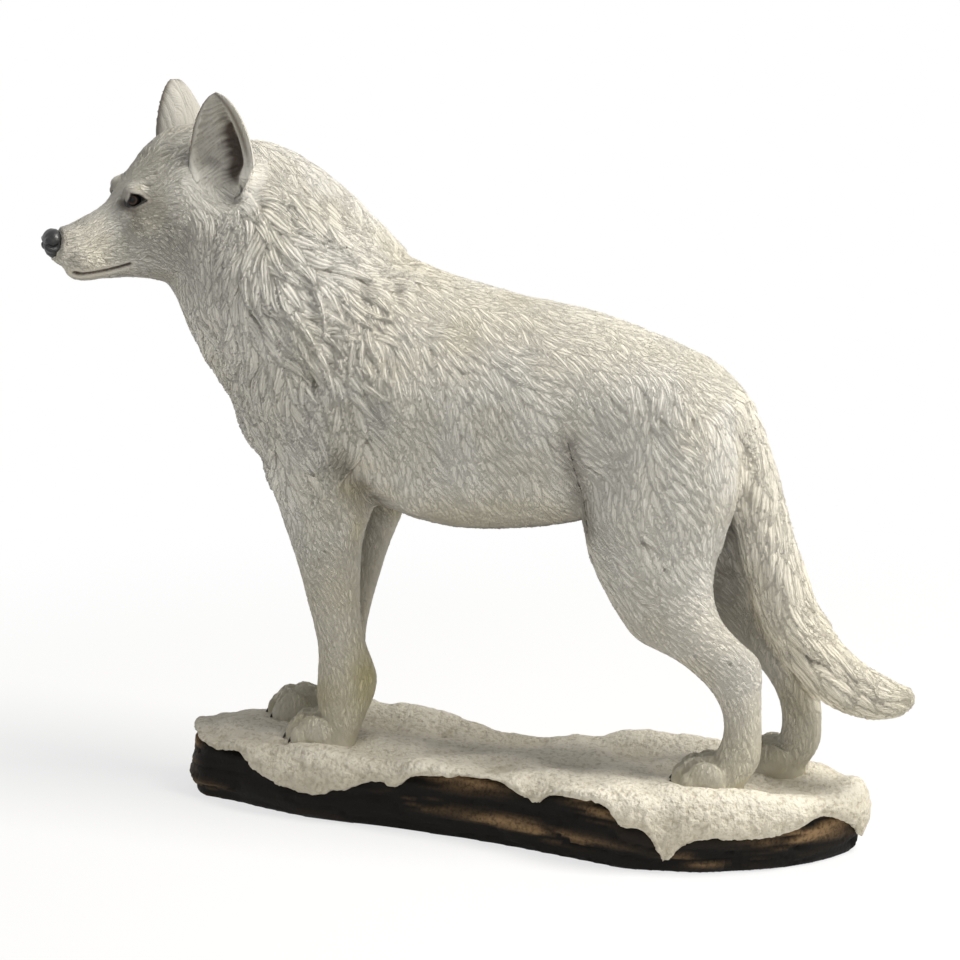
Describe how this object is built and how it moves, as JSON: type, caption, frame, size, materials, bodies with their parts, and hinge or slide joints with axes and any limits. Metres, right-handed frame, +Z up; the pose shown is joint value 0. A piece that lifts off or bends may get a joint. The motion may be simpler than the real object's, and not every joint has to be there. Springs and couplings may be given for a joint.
{
  "type": "wolf figurine",
  "caption": "White wolf figurine standing on a snow-covered log, head turned to its left, cast in one piece.",
  "frame": {"origin": "centre of the log's underside, where the base rests", "axes": "+Z up, -X the way the wolf's body faces, +X towards the tip of the tail, -Y the wolf's left side, which the head turns to"},
  "size_m": [0.2392, 0.0698, 0.2086],
  "materials": {
    "painted_resin": "satin"
  },
  "bodies": {
    "root": {"wolf_figurine": "painted_resin"}
  },
  "joints": []
}
